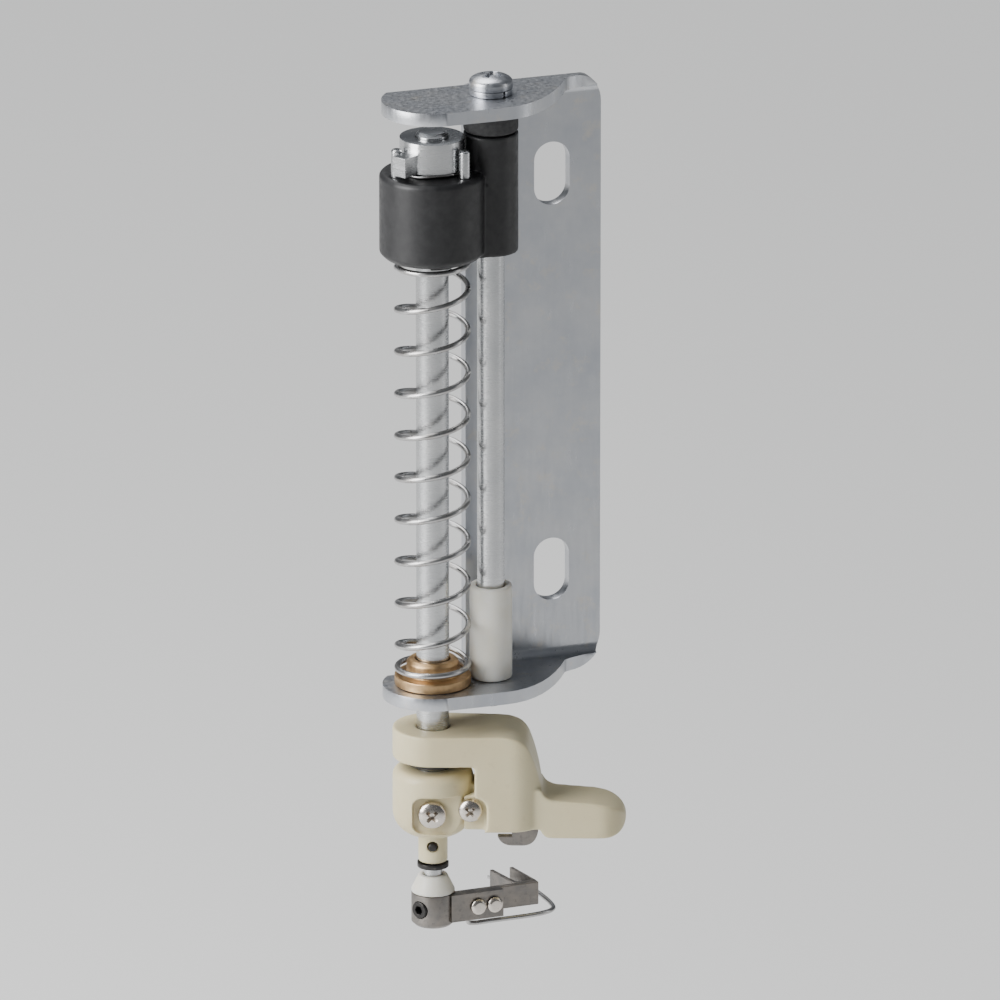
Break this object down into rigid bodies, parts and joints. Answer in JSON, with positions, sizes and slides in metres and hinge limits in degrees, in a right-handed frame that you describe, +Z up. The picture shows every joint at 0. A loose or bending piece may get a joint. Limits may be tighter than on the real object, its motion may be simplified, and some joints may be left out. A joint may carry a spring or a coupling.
{
  "type": "needle threader",
  "caption": "Push-down, swing-round needle threader of a sewing machine: sprung slide bracket, cream finger lever and a hook head that enters the needle's eye.",
  "frame": {"origin": "centre of the bracket's rear mounting face", "axes": "+X to the machine's right, -Y towards the operator, +Z up along the threader shaft; +Y is the outward normal of the mounting face"},
  "size_m": [0.0223, 0.0147, 0.0813],
  "materials": {
    "zinc_sheet": "bright zinc plate over cold-rolled sheet",
    "bronze": "sintered oil bronze",
    "ground_steel": "centreless-ground bright steel",
    "blackened_steel": "black oxide, oiled",
    "rubber": "matt moulded rubber",
    "nylon": "natural white nylon",
    "spring_steel": "drawn spring wire and strip, light oil",
    "black_acetal": "machined black acetal",
    "cream_plastic": "moulded cream plastic, satin",
    "nickel_steel": "bright nickel plate",
    "tempered_steel": "hardened and tempered strip, dulled"
  },
  "bodies": {
    "bracket": {"mounting_bracket": "zinc_sheet", "shaft_bush": "bronze", "guide_rod": "ground_steel", "guide_rod_clip": "blackened_steel", "rod_lock_washer": "zinc_sheet", "guide_rod_screw": "zinc_sheet", "upper_damper": "rubber", "lower_stop_sleeve": "nylon", "return_spring": "spring_steel"},
    "carriage": {"carriage_block": "black_acetal", "stop_pin_rest": "ground_steel", "stop_pin_turned": "ground_steel"},
    "threader": {"threader_shaft": "ground_steel", "friction_washer": "spring_steel", "stop_collar": "ground_steel", "collar_screw": "blackened_steel", "carriage_clip": "blackened_steel", "finger_lever": "cream_plastic", "shaft_hub": "cream_plastic", "hub_set_screw": "nickel_steel", "lever_screw": "nickel_steel", "lever_clip": "blackened_steel", "hub_pin": "blackened_steel", "thread_guide": "tempered_steel", "shaft_end_clip": "blackened_steel", "spacer_cone": "nylon", "hook_holder": "tempered_steel", "holder_screw": "blackened_steel", "hook_arm": "tempered_steel", "hook_rivet_inner": "nickel_steel", "hook_rivet_outer": "nickel_steel", "needle_fork": "tempered_steel", "threading_hook": "spring_steel", "thread_wire": "spring_steel"}
  },
  "joints": [
    {"name": "lever_slide", "type": "slide", "parent": "bracket", "child": "carriage", "axis": [0, 0, -1], "range_m": [0, 0.032], "stiffness_N_per_m": 30, "springref_m": -0.027, "deforming": ["return_spring"]},
    {"name": "lever_swing", "type": "hinge", "parent": "carriage", "child": "threader", "pos_m": [-0.011, -0.0052, 0], "axis": [0, 0, 1], "range_deg": [0, 75]}
  ]
}
